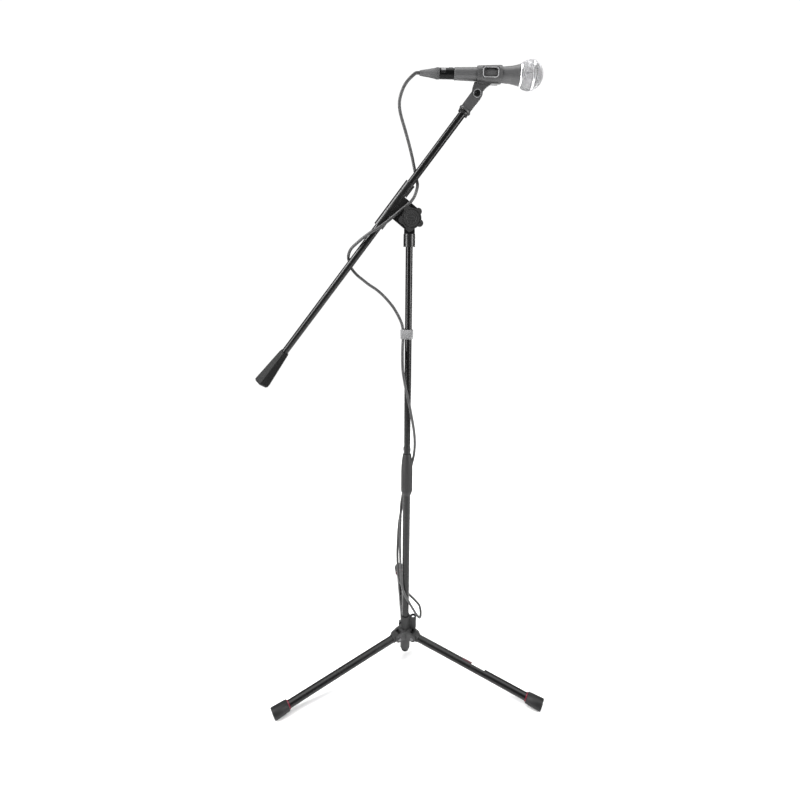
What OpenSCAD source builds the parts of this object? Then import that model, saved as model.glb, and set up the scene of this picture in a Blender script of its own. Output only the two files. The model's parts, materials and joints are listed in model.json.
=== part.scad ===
// Boom microphone stand with a handheld microphone and its lead.
// Millimetres. The origin is on the floor at the mast's axis, +Z is up,
// and the boom rises towards +X.

/* [Mast] */
// Height of the boom's tilt pivot above the floor
pivot_z = 1074.5; // [1040:0.5:1110]
// Outer diameter of the lower mast tube
lower_d = 18; // [17:0.5:20]
// Outer diameter of the upper mast tube
upper_d = 14.4; // [13:0.2:15]
// Wall of the tubes
tube_wall = 1.2; // [0.8:0.1:1.5]
// Height of the lower tube's top end
lower_top = 541; // [500:1:560]
// Length of upper tube held inside the lower tube
overlap = 160; // [120:5:200]
// Outer diameter of the twist grip
grip_d = 27; // [24:0.5:32]

/* [Tripod] */
// Turn of the leg set about the mast
leg_turn = 3; // [-10:1:10]
// Distance from the mast's axis to a leg's hinge
hinge_r = 26; // [25:0.5:28]
// Height of the leg hinges
hinge_z = 70; // [68:1:72]
// Distance from the mast's axis to the end of a foot
foot_r = 355; // [300:5:420]
// Outer diameter of a leg tube
leg_d = 19.6; // [18:0.2:20]
// Diameter of a rubber foot
foot_d = 28.6; // [26:0.2:32]
// Length of a rubber foot
foot_len = 37; // [30:1:45]

/* [Boom] */
// Slope of the boom above the horizontal, in degrees
boom_angle = 51.6; // [40:0.2:60]
// Distance from the tilt pivot to the boom's axis
boom_offset = 43; // [41:1:48]
// Outer diameter of the boom tube
boom_d = 14.4; // [13:0.2:15]
// Boom length from the tilt pivot up to the clip's stud
boom_front = 203; // [180:1:230]
// Boom length from the tilt pivot back to the counterweight
boom_back = 380; // [340:5:420]
// Length of the counterweight
weight_len = 90; // [70:5:110]
// Diameter of the star knob over its lobes
knob_d = 50; // [46:1:52]

/* [Microphone] */
// Droop of the microphone's nose, in degrees
mic_drop = 1; // [-5:1:10]
// Height of the microphone's axis above the clip's screw
mic_rise = 33; // [32:1:36]
// Diameter of the ball grille
ball_d = 50; // [48:1:54]

/* [Cable] */
// Diameter of the cable
cable_d = 6; // [5:0.5:6]

/* [Hidden] */
$fn = 64;

// Fits: a running fit, a gap between parts that only pass, and a small overrun for cuts
run_gap = 0.05;
free_gap = 0.3;
cut = 1;

// Mast
lower_r = lower_d / 2;
upper_r = upper_d / 2;
lower_bore = lower_r - tube_wall;
lower_bottom = 34;
upper_bottom = lower_top - overlap;
head_bottom = pivot_z - 53;
head_flat = pivot_z - 28;
head_r = 11.8;
upper_top = head_flat - 2;
tongue = 8;
bolt_r = 4;
pivot_x = 3.7;

// Tripod
foot_end_z = foot_d / 2 - 1;
leg_drop = atan((hinge_z - foot_end_z) / (foot_r - hinge_r));
leg_len = norm([foot_r - hinge_r, hinge_z - foot_end_z]);
leg_r = leg_d / 2;
leg_slot = 16;
lobe_x = 20;
ear = 6;
ear_r = 9.2;
pin_r = 3;
flange = 9.5;

// Boom
boom_r = boom_d / 2;
sleeve_r = 10.4;
sleeve_len = 102;
cheek_w = 46;
cheek_in = tongue / 2 + 1;
cheek_out = cheek_in + 4;
knob_back = cheek_out + 8.5;
knob_front = knob_back + 12;
stud_r = 4.75;
clip_s = boom_front + 43;

// Microphone, along its own axis from the clip's screw
tail_x = -44;
ring_x = 76;
ball_x = 95;
ball_r = ball_d / 2;
nose_r = 8.6;
plug_r = 9.3;
boot_x = -108;
boot_end = -71;
cable_r = cable_d / 2;

function leg_azimuth(i) = leg_turn + 90 + 120 * i;
function boom_point(s, h) = [pivot_x + s * cos(boom_angle) - h * sin(boom_angle), 0,
    pivot_z + s * sin(boom_angle) + h * cos(boom_angle)];
function mic_point(x, h) = boom_point(clip_s, boom_offset)
    + [x * cos(mic_drop) + h * sin(mic_drop), 0, h * cos(mic_drop) - x * sin(mic_drop)];

// Route of the cable, from the microphone's plug to the plug on its far end
route_mic = [mic_point(boot_x, mic_rise), mic_point(boot_x - cable_d, mic_rise), [2, 0, 1324],
    [-5, 1, 1318], [-12, 1, 1309], [-17, 2, 1299], [-21, 3, 1285], [-21, 4, 1272], [-18, 5, 1259],
    [-10, 7, 1235], [-2, 9, 1210], [4, 12, 1189], [7, 13, 1176], [10, 12, 1163.5]];
route_boom = [[10, 12, 1163], [13, 11, 1150], [15, 2, 1138], [13, -5, 1127], [8, -10, 1114],
    [-1, -13, 1103], [-15, -14, 1092], [-29, -14, 1081], [-43, -14, 1070], [-62, -14, 1057],
    [-75, -14, 1050], [-87, -12, 1042], [-98, -10, 1034], [-108, -7, 1026], [-117, -3, 1018],
    [-123, 3, 1008], [-125, 9, 998], [-122, 10, 988.5]];
route_hang = [[-122, 10, 988], [-119, 11, 978], [-108, 10, 965], [-95, 7, 955], [-83, 5, 946],
    [-70, 2, 938], [-57, -1, 928], [-44, -3, 915], [-31, -4, 899], [-21, -4, 882],
    [-14, -3, 866], [-11, -3, 852]];
route_down = [[-11, -3, 852], [-11, -3, 834], [-12, -7, 815], [-12, -12, 793], [-11, -14, 768],
    [-7, -16, 742], [1, -17, 704], [8, -15, 668], [14, -10, 634], [17, -4, 604], [17, 4, 574],
    [14, 10, 550], [8, 16, 522], [0, 18, 495], [-8, 16, 463], [-13, 12, 428], [-14, 6, 392],
    [-15, 0, 345], [-14, -4, 300], [-12, -7, 250], [-9, -11, 220], [-2, -14, 196], [6, -13, 178],
    [13, -10, 162], [20, -8, 147], [27, -7, 133], [33, -5, 123], [36, 0, 116]];
route_up = [[36, 0, 116], [39, 9, 111], [40, 18, 115], [39, 23, 124], [36, 23, 135], [30, 20, 146],
    [24, 17, 156], [16, 13, 168], [6, 13, 180], [-6, 14, 197], [-15, 12, 216],
    [-19, 8, 238], [-20, 5, 264], [-21, 3, 300], [-20, 9, 340], [-17, 15, 385],
    [-9, 22, 430], [-2, 25, 470], [0, 25, 505], [0, 24, 545], [0, 20, 590], [0, 18, 640],
    [0, 18, 700], [0, 17, 793], [0, 13, 825], [0, 11, 845], [0, 11, 865], [0, 11, 884],
    [0, 16, 899], [0, 26, 907], [0, 36, 904], [0, 42, 893], [0, 40, 880], [0, 32, 869],
    [0, 23, 862], [0, 18, 853], [0, 18, 836], [0, 20, 820], [0, 24, 793], [0, 25, 700],
    [0, 27, 650], [0, 32, 620], [0, 36, 602], [0, 38, 588]];

// Round tube swept along a list of points
function unit(v) = v / norm(v);
function heading(p, i) = unit(p[min(i + 1, len(p) - 1)] - p[max(i - 1, 0)]);
function sides(p, i = 0, last = [0, 1, 0]) = i == len(p) ? [] :
    let (t = heading(p, i), s = unit(last - t * (last * t))) concat([s], sides(p, i + 1, s));

module swept_tube(p, r, n = 8) {
    s = sides(p);
    points = [for (i = [0:len(p) - 1], k = [0:n - 1])
        let (t = heading(p, i), a = 360 * k / n) p[i] + r * (cos(a) * s[i] + sin(a) * cross(t, s[i]))];
    walls = [for (i = [0:len(p) - 2], k = [0:n - 1])
        let (a = i * n + k, b = i * n + (k + 1) % n) each [[a, b, b + n], [a, b + n, a + n]]];
    last = (len(p) - 1) * n;
    ends = [[for (k = [n - 1:-1:0]) k], [for (k = [0:n - 1]) last + k]];
    polyhedron(points, concat([for (w = walls) [w[2], w[1], w[0]]],
        [for (e = ends) [for (k = [n - 1:-1:0]) e[k]]]));
}

module tube(h, r, bore) {
    difference() {
        cylinder(h = h, r = r);
        translate([0, 0, -cut]) cylinder(h = h + 2 * cut, r = bore);
    }
}

// Solid or hollow turning about the +X axis from [x, r] points
module turned(profile) {
    rotate([0, 90, 0]) rotate_extrude() polygon([for (p = profile) [p[1], p[0]]]);
}

// Straight bar along +X
module bar(x, len, r) {
    translate([x, 0, 0]) rotate([0, 90, 0]) cylinder(h = len, r = r);
}

// Pin, screw or hole along +Y, from y to y + len
module cross_bar(y, len, r) {
    translate([0, y, 0]) rotate([-90, 0, 0]) cylinder(h = len, r = r);
}

// Places children in the frame of a leg, a boom or the microphone
module at_leg(i) {
    rotate([0, 0, leg_azimuth(i)]) translate([hinge_r, 0, hinge_z]) rotate([0, leg_drop, 0]) children();
}

module at_pivot() {
    translate([pivot_x, 0, pivot_z]) rotate([0, -boom_angle, 0]) children();
}

module at_boom(s = 0) {
    at_pivot() translate([s, 0, boom_offset]) children();
}

module at_clip() {
    at_boom(clip_s) rotate([0, boom_angle + mic_drop, 0]) children();
}

module at_mic() {
    at_clip() translate([0, 0, mic_rise]) children();
}

// ---- Tripod ----

// Side view of one hub arm, in radius and height: a disc round the hinge and a web to the column
module arm_outline() {
    translate([hinge_r, hinge_z]) circle(r = ear_r);
    polygon([[8, 61], [13, 61.5], [hinge_r - 5, hinge_z - 7], [hinge_r, hinge_z],
        [hinge_r + 3, hinge_z + 8], [20, 83], [12, 85], [8, 85]]);
}

module hub_arm() {
    difference() {
        translate([0, leg_slot / 2 + ear, 0]) rotate([90, 0, 0])
            linear_extrude(height = leg_slot + 2 * ear) arm_outline();
        translate([hinge_r - 10, -leg_slot / 2, hinge_z - 30]) cube([60, leg_slot, 60]);
        translate([hinge_r, 0, hinge_z]) cross_bar(-leg_slot, 2 * leg_slot, pin_r + run_gap);
    }
}

module leg_hub() {
    color("#4a4a4a") difference() {
        union() {
            translate([0, 0, 26]) cylinder(h = 60, r = 12.5);
            for (i = [0:2]) rotate([0, 0, leg_azimuth(i)]) hub_arm();
        }
        translate([0, 0, lower_bottom]) cylinder(h = 60, r = lower_r + run_gap);
        translate([0, 0, 25]) cylinder(h = 20, r = 6);
    }
}

module hub_collar() {
    bottom = 86.2;
    height = 37;
    lobe_top = bottom + height - 3;
    color("#484848") difference() {
        union() {
            translate([0, 0, bottom]) cylinder(h = height, r = 11.6);
            translate([lobe_x, 2, bottom]) cylinder(h = lobe_top - bottom, r = 8);
            translate([0, -4, bottom]) cube([lobe_x, 12, lobe_top - bottom - 1]);
        }
        translate([0, 0, bottom - cut]) cylinder(h = 60, r = lower_r + run_gap);
        translate([lobe_x, 2, bottom - cut]) cylinder(h = 60, r = 2.6);
        translate([lobe_x, 2, lobe_top - 5]) cylinder(h = 10, r = 5.4);
        translate([9, -0.6, bottom - cut]) cube([20, 1.2, 12]);
        translate([-20, 0, 101]) rotate([0, 90, 0]) cylinder(h = 15, r = 2.6);
    }
}

module collar_screw() {
    color("#c8c8c8") translate([lobe_x, 2, 0]) difference() {
        union() {
            translate([0, 0, 89]) cylinder(h = 27, r = 2.5);
            translate([0, 0, 115.3]) cylinder(h = 2.6, r = 3.2);
        }
        translate([-0.5, -5, 117]) cube([1, 10, 2]);
    }
}

module collar_set_screw() {
    color("#2a2a2a") translate([-16.5, 0, 101]) rotate([0, 90, 0]) {
        cylinder(h = 7.2, r = 2.5);
        cylinder(h = 4.5, r = 6);
    }
}

module base_end_cap() {
    color("#161616") {
        translate([0, 0, 15]) cylinder(h = 2.5, r1 = 7, r2 = 9.2);
        translate([0, 0, 17.5]) cylinder(h = 8.4, r = 9.2);
        translate([0, 0, 25.9]) cylinder(h = 9, r = 5.9);
    }
}

module leg_pins() {
    color("#b8b8b8") for (i = [0:2]) rotate([0, 0, leg_azimuth(i)]) translate([hinge_r, 0, hinge_z]) {
        half = leg_slot / 2 + ear;
        cross_bar(-half - 0.1, 2 * half + 0.2, pin_r);
        cross_bar(-half - 1.6, 1.5, 3.8);
        cross_bar(half + 0.1, 1.5, 3.8);
    }
}

// Knuckle on the hinge pin, with a flange and a plug that the leg tube is pressed on
module leg_socket(i) {
    width = leg_slot - 2 * free_gap;
    color("#3c3c3c") at_leg(i) difference() {
        union() {
            cross_bar(-width / 2, width, ear_r);
            translate([0, -width / 2, -8.5]) cube([flange + 1, width, 17]);
            bar(flange, 3.5, leg_r + 1.5);
            bar(flange + 3, 32, leg_r - tube_wall - run_gap);
        }
        cross_bar(-leg_slot, 2 * leg_slot, pin_r + run_gap);
    }
}

module leg_tube(i) {
    start = flange + 3.6;
    color("#141414") at_leg(i) difference() {
        bar(start, leg_len - 7.8 - start, leg_r);
        bar(0, leg_len, leg_r - tube_wall);
    }
}

module foot_ring(i) {
    color("#a01020") at_leg(i) translate([leg_len - foot_len - 2.4, 0, 0]) rotate([0, 90, 0])
        tube(2.2, leg_r + 1.4, leg_r + run_gap);
}

module foot(i) {
    inner = leg_len - foot_len;
    neck = leg_r + 1.6;
    color("#1e1e1e") difference() {
        at_leg(i) difference() {
            turned([[inner, 0], [inner, neck - 0.6], [inner + 1, neck], [leg_len - 3, foot_d / 2],
                [leg_len - 1, foot_d / 2 - 0.4], [leg_len, foot_d / 2 - 2], [leg_len, 0]]);
            bar(inner - cut, foot_len - 6.6, leg_r + run_gap);
        }
        translate([-500, -500, -20]) cube([1000, 1000, 20]);
    }
}

// Plain label wrapped over the back of one leg
module leg_label() {
    color("white") at_leg(2) translate([132, 0, 0]) rotate([0, 90, 0]) rotate([0, 0, 100])
        rotate_extrude(angle = 86) translate([leg_r + 0.02, 0]) square([0.3, 58]);
}

// ---- Mast ----

module lower_tube() {
    bottom = lower_bottom + 2;
    color("#141414") translate([0, 0, bottom]) tube(lower_top - bottom, lower_r, lower_bore);
}

module clutch_collet() {
    color("#303030") difference() {
        union() {
            translate([0, 0, lower_top - 40]) cylinder(h = 40, r = lower_bore - run_gap);
            translate([0, 0, lower_top]) cylinder(h = 3, r = lower_r);
        }
        translate([0, 0, lower_top - 50]) cylinder(h = 60, r = upper_r + run_gap);
        translate([-0.75, 0, lower_top - 20]) cube([1.5, 20, 30]);
    }
}

module clutch_grip() {
    grip_r = grip_d / 2;
    bottom = lower_top - 76;
    color("#474747") difference() {
        rotate_extrude() polygon([[lower_r + 0.9, bottom], [grip_r - 0.7, bottom + 8],
            [grip_r, bottom + 11], [grip_r, bottom + 60], [grip_r - 0.5, bottom + 74],
            [grip_r - 1.8, bottom + 88], [upper_r + 2.6, bottom + 101], [upper_r + 1.6, bottom + 103],
            [0, bottom + 103], [0, bottom]]);
        translate([0, 0, bottom - cut]) cylinder(h = 80.2 + cut, r = lower_r + run_gap);
        translate([0, 0, bottom]) cylinder(h = 120, r = upper_r + 0.4);
        for (k = [0:11]) rotate([0, 0, 30 * k]) translate([grip_r + 1.5, 0, bottom + 14])
            cylinder(h = 44, r = 2);
    }
}

module upper_tube() {
    color("#121212") translate([0, 0, upper_bottom])
        tube(upper_top - upper_bottom, upper_r, upper_r - tube_wall);
}

module slide_bush() {
    color("#2b2b2b") translate([0, 0, upper_bottom - 3]) {
        tube(3, lower_bore - run_gap, upper_r - tube_wall - 1.6);
        translate([0, 0, 3]) tube(15, upper_r - tube_wall - run_gap, upper_r - tube_wall - 1.6);
    }
}

// Hook-and-loop strap around the mast and the runs of cable beside it
module strap_outline(grow) {
    hull() {
        circle(r = upper_r + grow, $fn = 32);
        translate([-11, -3]) circle(r = cable_r + grow, $fn = 32);
        translate([0, 18]) circle(r = cable_r + grow, $fn = 32);
    }
}

module cable_strap() {
    color("#6f6f6f") translate([0, 0, 834]) linear_extrude(height = 20) difference() {
        strap_outline(1.8);
        strap_outline(0.2);
    }
}

module mast_head() {
    color("#1a1a1a") difference() {
        union() {
            translate([0, 0, head_bottom]) cylinder(h = head_flat - head_bottom, r = head_r);
            translate([-head_r + 1, -tongue / 2, head_flat - 5])
                cube([2 * head_r - 2, tongue, pivot_z - head_flat + 5]);
            translate([pivot_x, 0, pivot_z]) cross_bar(-tongue / 2, tongue, 12.5);
        }
        translate([0, 0, head_bottom - cut])
            cylinder(h = upper_top + 0.5 - head_bottom + cut, r = upper_r + run_gap);
        translate([pivot_x, 0, pivot_z]) cross_bar(-tongue, 2 * tongue, bolt_r + run_gap);
    }
}

// ---- Boom ----

// Side view of a clamp cheek, along and across the boom from the pivot, with one corner cut off
module cheek_outline() {
    side = cheek_w / 2;
    polygon([[-side, boom_offset], [-side, -13], [9, -13], [side, 2], [side, boom_offset]]);
}

module boom_clamp() {
    color("#1b1b1b") at_pivot() difference() {
        union() {
            translate([0, 0, boom_offset]) bar(-sleeve_len / 2 - 1, sleeve_len, sleeve_r);
            for (y = [-cheek_in, cheek_out]) translate([0, y, 0]) rotate([90, 0, 0])
                linear_extrude(height = cheek_out - cheek_in) cheek_outline();
        }
        translate([0, 0, boom_offset]) bar(-sleeve_len, 2 * sleeve_len, boom_r + run_gap);
        translate([-sleeve_len, -1.5, boom_offset - 20]) cube([2 * sleeve_len, 3, 20]);
        for (s = [-1, 1]) translate([s * (cheek_w / 2 + 1.2) - 1.2, -20, boom_offset - 20])
            cube([2.4, 40, 15]);
        cross_bar(-20, 40, bolt_r + run_gap);
    }
}

module friction_washers() {
    color("#8c8c88") at_pivot() for (y = [-cheek_in + 0.05, tongue / 2 + 0.05]) difference() {
        cross_bar(y, 0.9, 11.5);
        cross_bar(-20, 40, bolt_r + run_gap);
    }
}

module pivot_bolt() {
    color("#9a9a9a") at_pivot() cross_bar(-knob_front + 3, knob_front + cheek_out + 5, bolt_r);
}

module pivot_nut() {
    color("#8f8f8f") at_pivot() difference() {
        translate([0, cheek_out + 0.1, 0]) rotate([-90, 0, 0]) cylinder(h = 6.5, r = 7.5, $fn = 6);
        cross_bar(-20, 60, bolt_r + run_gap);
    }
}

// Outline of the five-lobed knob
module star_outline() {
    tip = knob_d / 2;
    lobe = 6.8;
    difference() {
        union() {
            circle(r = tip - lobe + 1);
            for (k = [0:4]) rotate(44 + 72 * k) translate([tip - lobe, 0]) circle(r = lobe);
        }
        for (k = [0:4]) rotate(80 + 72 * k) translate([tip + 2.2, 0]) circle(r = 8);
    }
}

module star_knob() {
    color("#4a4a4a") translate([pivot_x, 0, pivot_z]) rotate([90, 0, 0]) difference() {
        union() {
            translate([0, 0, knob_back]) linear_extrude(height = knob_front - knob_back) star_outline();
            translate([0, 0, cheek_out + 0.1]) cylinder(h = knob_back - cheek_out, r = 10);
        }
        translate([0, 0, knob_front - 1.5]) cylinder(h = 5, r = 16.6);
        translate([0, 0, cheek_out - cut])
            cylinder(h = knob_front - 2.5 - cheek_out + cut, r = bolt_r + run_gap);
    }
}

module knob_cap() {
    color("#525252") translate([pivot_x, 0, pivot_z]) rotate([90, 0, 0])
        translate([0, 0, knob_front - 1.45]) cylinder(h = 2.6, r1 = 16.5, r2 = 15.4);
}

module boom_tube() {
    color("#121212") at_boom() difference() {
        bar(-boom_back - 46, boom_front + boom_back + 46, boom_r);
        bar(-boom_back - 50, boom_front + boom_back + 60, boom_r - tube_wall);
    }
}

module counterweight() {
    small = 11;
    large = 18.5;
    color("#202020") at_boom(-boom_back) rotate([0, -90, 0]) rotate([0, 0, 90]) difference() {
        union() {
            cylinder(h = 4, r1 = small - 1.2, r2 = small, $fn = 6);
            translate([0, 0, 4]) cylinder(h = weight_len - 8, r1 = small, r2 = large, $fn = 6);
            translate([0, 0, weight_len - 4]) cylinder(h = 4, r1 = large, r2 = large - 3.5, $fn = 6);
        }
        translate([0, 0, -cut]) cylinder(h = 47 + cut, r = boom_r + run_gap);
    }
}

module boom_stud() {
    color("#b5b5b5") at_boom() {
        bar(boom_front - 16, 16, boom_r - tube_wall - run_gap);
        bar(boom_front, 1.6, boom_r);
        bar(boom_front + 1.6, 19, stud_r);
    }
}

module lock_ring() {
    color("#1c1c1c") at_boom(boom_front + 2) difference() {
        union() {
            bar(0, 4, 10);
            for (k = [0:3]) rotate([90 * k + 45, 0, 0]) translate([2, 0, 0]) cylinder(h = 12.8, r = 1.6);
        }
        bar(-cut, 8, stud_r + run_gap);
    }
}

module clip_base() {
    gap = 8.6;
    outer = 18;
    start = boom_front + 8;
    at_boom() color("#3d3d3d") difference() {
        union() {
            bar(start, 3, 12);
            bar(start + 3, 3, 9.5);
            translate([start + 4, -outer / 2, -10]) cube([clip_s - start - 4, outer, 20]);
            translate([clip_s, 0, 0]) cross_bar(-outer / 2, outer, 10);
        }
        translate([clip_s - 12.5, -gap / 2, -20]) cube([40, gap, 40]);
        translate([clip_s, 0, 0]) cross_bar(-20, 40, 2.5 + run_gap);
        bar(start - cut, 13 + cut, 6.6);
    }
}

module clip_insert() {
    color("#b08d3a") at_boom(boom_front + 9.2) rotate([0, 90, 0]) tube(11.6, 6.55, stud_r + run_gap);
}

// Neck of the clip seen from the side, from the screw up to the cradle
module neck_outline() {
    top = 20;
    circle(r = 9.5);
    difference() {
        polygon([[-9.4, 1], [-8.5, 12], [-6, top], [38, top], [38, 0], [9, -3]]);
        translate([38, -12]) circle(r = 31.4);
    }
}

// Split tube that holds the microphone, with a lipped window in each side
module cradle_shell() {
    wall = 2.2;
    bore = 11.76;
    flare = 1.6;
    difference() {
        union() {
            turned([[-2, bore], [-2, bore + wall - 0.3], [1, bore + wall], [40, bore + wall + flare],
                [43, bore + wall + flare - 0.3], [43, bore + flare]]);
            for (y = [-15.2, 13.4]) translate([22, y, 0]) window(32, 19, 1.8);
        }
        translate([-5, -2.5, 5]) cube([60, 5, 20]);
        translate([22, -30, 0]) window(26, 14, 60);
    }
}

module clip_cradle() {
    color("#2e2e2e") at_clip() {
        translate([0, 0, mic_rise]) cradle_shell();
        difference() {
            union() {
                translate([0, 4, 0]) rotate([90, 0, 0]) linear_extrude(height = 8) neck_outline();
                translate([0, -6.5, 17]) cube([38, 13, 3]);
            }
            cross_bar(-20, 40, 2.5 + run_gap);
        }
    }
}

// Rounded window cut along +Y, centred on x and z
module window(w, h, depth) {
    corner = 4;
    rotate([-90, 0, 0]) linear_extrude(height = depth) {
        square([w - 2 * corner, h], center = true);
        square([w, h - 2 * corner], center = true);
        for (x = [-1, 1], z = [-1, 1])
            translate([x * (w / 2 - corner), z * (h / 2 - corner)]) circle(r = corner);
    }
}

module clip_screw() {
    color("#a8a8a8") at_boom(clip_s) difference() {
        union() {
            cross_bar(-9.1, 19.5, 2.5);
            cross_bar(-11.6, 2.5, 5.2);
        }
        cross_bar(-12.6, 2.4, 2);
    }
}

module clip_nut() {
    color("#a8a8a8") at_boom(clip_s) difference() {
        translate([0, 9.1, 0]) rotate([-90, 0, 0]) cylinder(h = 4, r = 4.7, $fn = 6);
        cross_bar(0, 40, 2.5 + run_gap);
    }
}

// ---- Microphone ----

module mic_handle() {
    outside = [[tail_x, 9.9], [tail_x + 1, 10.4], [-2, 11.46], [43, 13.06], [60, 14.4], [70, 16.2],
        [ring_x - 0.1, 17.6]];
    inside = [[ring_x - 0.1, 14.5], [60, 12.4], [20, 10.4], [tail_x + 17, 8], [tail_x + 13, 8],
        [tail_x + 13, nose_r + 0.3], [tail_x, nose_r + 0.3]];
    color("#3a3a3c") at_mic() turned(concat(outside, inside));
}

module mic_ring() {
    color("#d8d8d8") at_mic() turned([[ring_x, 14.6], [ring_x, 18.3], [ring_x + 1, 18.9],
        [ring_x + 3.6, 19.1], [ring_x + 3.6, 14.6]]);
}

function ball_profile(x0, x1, r, steps = 12) = [for (k = [0:steps])
    let (x = x0 + (x1 - x0) * k / steps) [x, sqrt(max(r * r - pow(x - ball_x, 2), 0))]];

module grille_shell(x0, x1) {
    outer = ball_profile(x0, x1, ball_r);
    inner = ball_profile(x0, min(x1, ball_x + ball_r - 1), ball_r - 1);
    at_mic() turned(concat(outer, [for (k = [len(inner) - 1:-1:0]) inner[k]]));
}

module grille_lower() {
    color("#b9b9b9") grille_shell(ring_x + 3.7, 97.4);
}

module grille_band() {
    color("#e0e0e0") at_mic() turned([[97.5, ball_r - 1.2], [97.5, ball_r + 0.2], [98.3, ball_r + 0.5],
        [101.2, ball_r + 0.2], [102, ball_r - 0.6], [102, ball_r - 2.4]]);
}

module grille_dome() {
    color("#c4c4c4") at_mic() translate([ball_x, 0, 0]) rotate([0, 90, 0]) difference() {
        sphere(r = ball_r);
        sphere(r = ball_r - 1);
        translate([0, 0, -60 + 7.1]) cube(120, center = true);
    }
}

module mic_capsule() {
    color("#2c2c2c") at_mic() turned([[62, 0], [62, 12], [76, 12], [76, 14.4], [92, 14.4], [96, 12.5],
        [98, 10], [98, 0]]);
}

module mic_socket() {
    color("#222222") at_mic() {
        bar(tail_x + 13.2, 3.6, 7.9);
        for (a = [90, 210, 330]) rotate([a, 0, 0]) translate([0, 0, 3.6]) bar(tail_x + 2, 11.3, 1.1);
    }
}

module plug_shell() {
    color("#151515") at_mic() difference() {
        union() {
            bar(tail_x - 16, 28, nose_r - 0.05);
            turned([[boot_end, 0], [boot_end, plug_r - 0.5], [boot_end + 0.5, plug_r],
                [tail_x - 0.8, plug_r], [tail_x - 0.2, plug_r - 0.6], [tail_x - 0.2, 0]]);
        }
        for (a = [90, 210, 330]) rotate([a, 0, 0]) translate([0, 0, 3.6]) bar(tail_x + 1, 20, 1.5);
        translate([tail_x - 11, -3.2, 6.2]) cube([9.4, 6.4, 6]);
        bar(boot_end - cut, 11 + cut, 6.2);
    }
}

module plug_latch() {
    color("#c9c9c9") at_mic() intersection() {
        translate([tail_x - 10.7, -2.9, 7.8]) cube([8.8, 5.8, 4]);
        bar(tail_x - 12, 20, plug_r + 0.7);
    }
}

// Tapered boot with a gripping ring and a neck that plugs into the shell
module plug_boot() {
    ring = boot_end - 6;
    color("#1d1d1d") at_mic() difference() {
        turned([[boot_x, 0], [boot_x, 4], [boot_x + 2, 4.6], [ring - 12, 7], [ring - 0.5, 9],
            [ring, plug_r + 0.3], [boot_end - 0.8, plug_r + 0.3], [boot_end - 0.1, plug_r - 0.4],
            [boot_end - 0.1, 6.1], [boot_end + 10, 6.1], [boot_end + 10, 0]]);
        for (k = [0:23]) rotate([15 * k, 0, 0]) translate([0, 0, plug_r + 0.7]) bar(ring + 0.6, 4.4, 0.8);
    }
}

// ---- Cable ----

module cable(route) {
    color("#1b1b1b") swept_tube(route, cable_r);
}

module cable_mic() {
    cable(route_mic);
}

module cable_boom() {
    cable(route_boom);
}

module cable_hang() {
    cable(route_hang);
}

module cable_mast() {
    cable(concat(route_down, [for (i = [1:len(route_up) - 1]) route_up[i]]));
}

module at_end_plug() {
    end = route_up[len(route_up) - 1];
    translate(end) rotate([0, 180, 0]) children();
}

module end_plug_boot() {
    color("#1d1d1d") at_end_plug() translate([0, 0, 0.1]) rotate_extrude()
        polygon([[0, 0], [4.2, 0], [6.6, 14], [8.6, 20], [8.6, 24], [0, 24]]);
}

module end_plug_shell() {
    color("#8a8a8a") at_end_plug() difference() {
        translate([0, 0, 24.2]) rotate_extrude()
            polygon([[0, 0], [8.2, 0], [9.4, 1.5], [9.4, 44], [0, 44]]);
        translate([0, 0, 50]) cylinder(h = 30, r = 8);
    }
}

module end_plug_pins() {
    color("#c0a050") at_end_plug() {
        translate([0, 0, 50.1]) cylinder(h = 3, r = 7.9);
        for (a = [0:120:240]) rotate([0, 0, a]) translate([3.6, 0, 53]) cylinder(h = 9.5, r = 1.1);
    }
}

leg_hub();
hub_collar();
collar_screw();
collar_set_screw();
base_end_cap();
leg_pins();
leg_socket(0);  // leg_socket_1
leg_tube(0);  // leg_tube_1
foot_ring(0);  // foot_ring_1
foot(0);  // foot_1
leg_socket(1);  // leg_socket_2
leg_tube(1);  // leg_tube_2
foot_ring(1);  // foot_ring_2
foot(1);  // foot_2
leg_socket(2);  // leg_socket_3
leg_tube(2);  // leg_tube_3
foot_ring(2);  // foot_ring_3
foot(2);  // foot_3
leg_label();
lower_tube();
clutch_collet();
clutch_grip();
upper_tube();
slide_bush();
cable_strap();
mast_head();
boom_clamp();
friction_washers();
pivot_bolt();
pivot_nut();
star_knob();
knob_cap();
boom_tube();
counterweight();
boom_stud();
lock_ring();
clip_base();
clip_insert();
clip_cradle();
clip_screw();
clip_nut();
mic_handle();
mic_ring();
grille_lower();
grille_band();
grille_dome();
mic_capsule();
mic_socket();
plug_shell();
plug_latch();
plug_boot();
cable_mic();
cable_boom();
cable_hang();
cable_mast();
end_plug_shell();
end_plug_pins();
end_plug_boot();
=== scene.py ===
"""Looks of the boom microphone stand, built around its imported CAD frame. Metres, Z up."""

import json
import math

import bpy
from mathutils import Matrix, Vector


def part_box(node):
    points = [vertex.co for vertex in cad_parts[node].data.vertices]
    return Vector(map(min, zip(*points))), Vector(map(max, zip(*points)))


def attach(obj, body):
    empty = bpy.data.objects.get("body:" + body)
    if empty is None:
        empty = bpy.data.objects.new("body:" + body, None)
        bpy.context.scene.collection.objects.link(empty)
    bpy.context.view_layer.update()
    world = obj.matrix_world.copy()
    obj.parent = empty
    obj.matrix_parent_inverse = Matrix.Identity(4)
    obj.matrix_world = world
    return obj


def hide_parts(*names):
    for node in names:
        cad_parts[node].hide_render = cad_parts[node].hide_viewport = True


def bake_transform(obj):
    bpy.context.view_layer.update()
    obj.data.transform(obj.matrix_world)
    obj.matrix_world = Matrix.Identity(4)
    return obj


# ---- Driving dimensions ----

CABLE_D = 0.006
FLOOR_R = 3.0

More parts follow.
